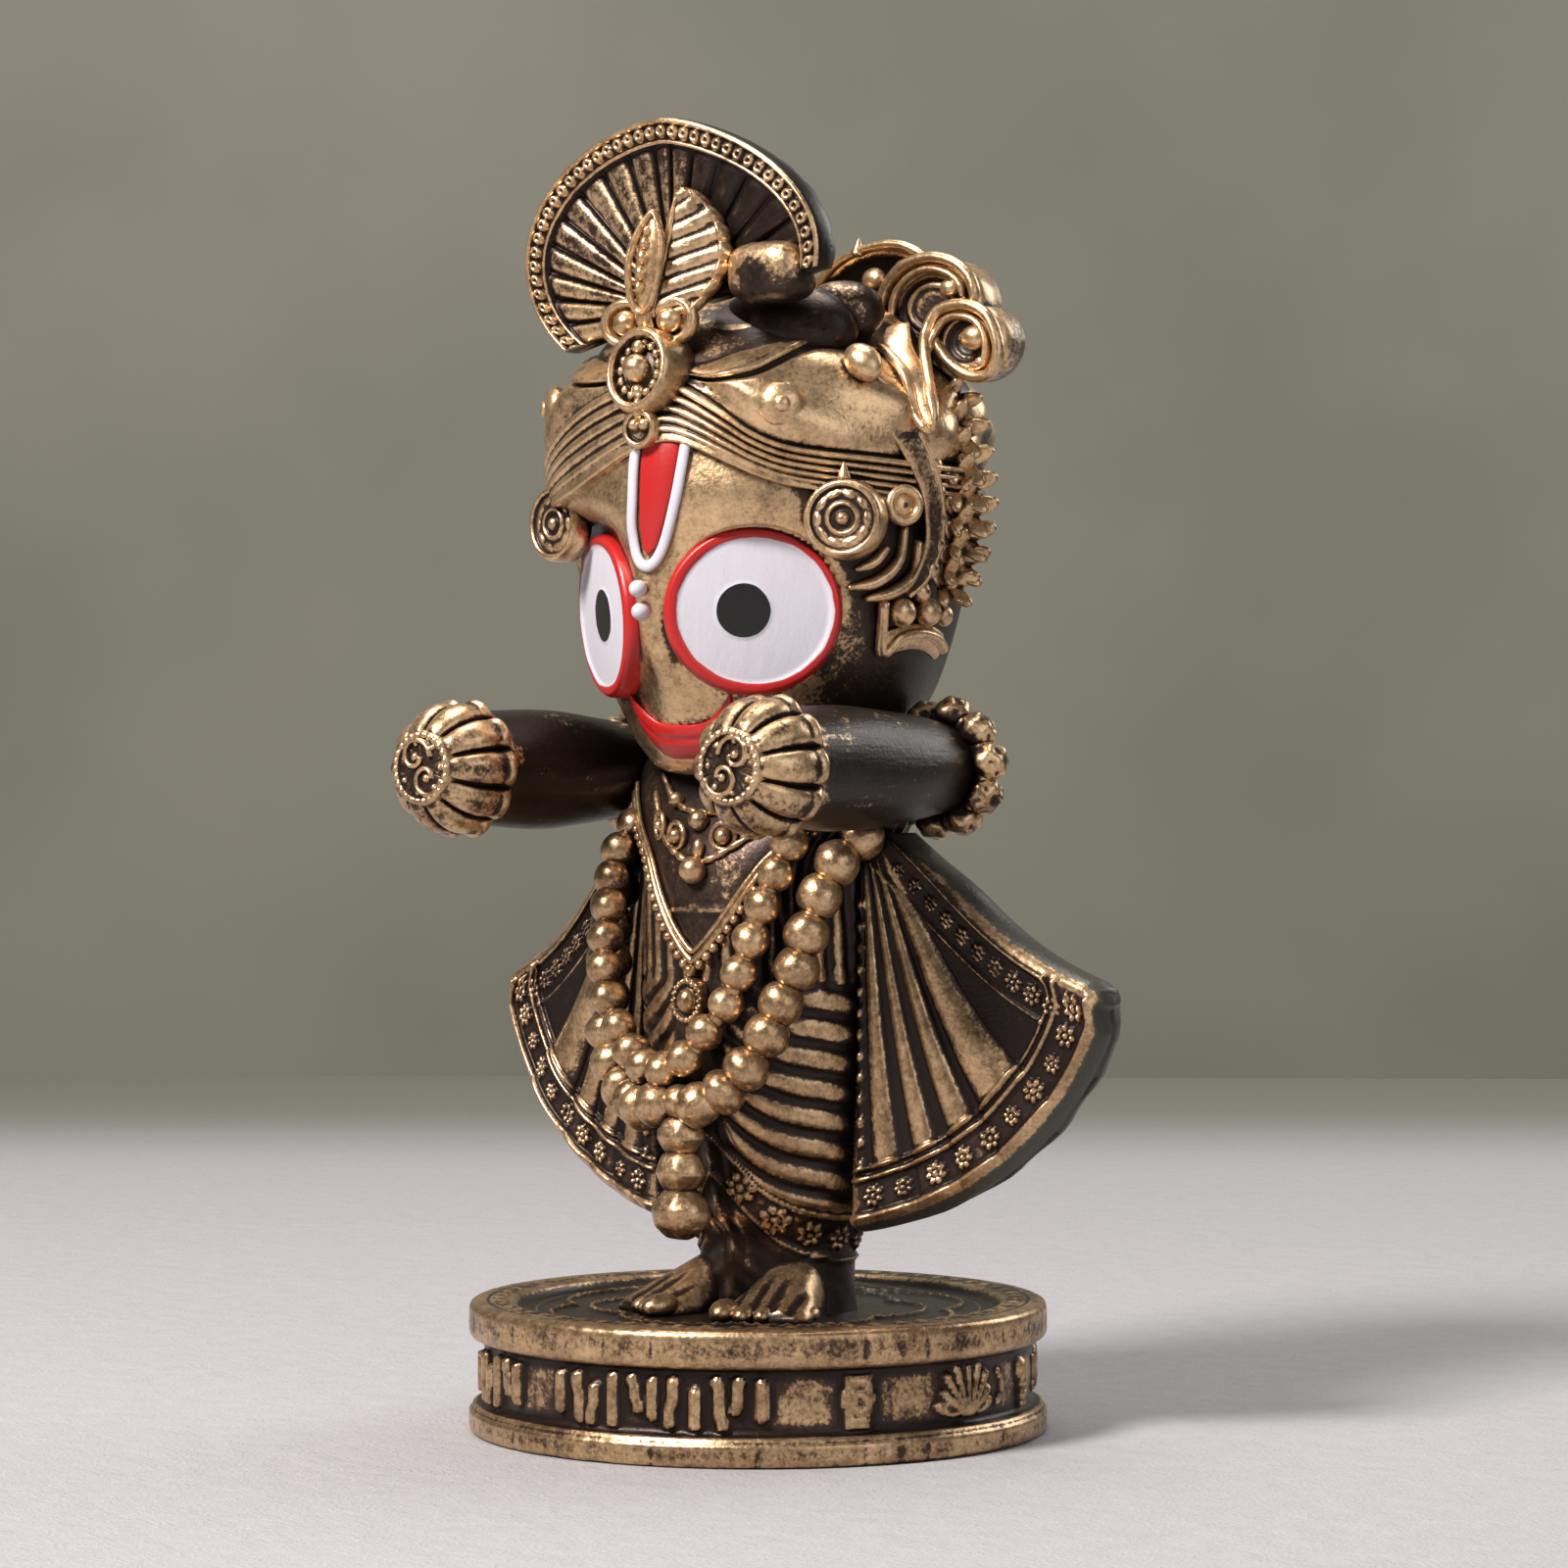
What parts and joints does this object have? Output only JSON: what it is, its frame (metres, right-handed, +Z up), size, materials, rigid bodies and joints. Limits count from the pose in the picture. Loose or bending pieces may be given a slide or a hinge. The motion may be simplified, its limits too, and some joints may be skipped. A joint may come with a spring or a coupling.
{
  "type": "jagannath figure",
  "caption": "Small cast figure with round painted eyes, stub arms held forward, fan crest, bead garlands and a spread pleated robe, standing on a round plinth.",
  "frame": {"origin": "centre of the plinth's flat underside", "axes": "+Z up through the figure, -Y the way the face looks, +X the figure's left side"},
  "size_m": [0.0604, 0.0452, 0.1008],
  "materials": {
    "figure": "cast polyresin painted antique bronze, with worn gold on the raised parts and enamel eyes, forehead mark and mouth"
  },
  "bodies": {
    "root": {"jagannath_figure": "figure"}
  },
  "joints": []
}
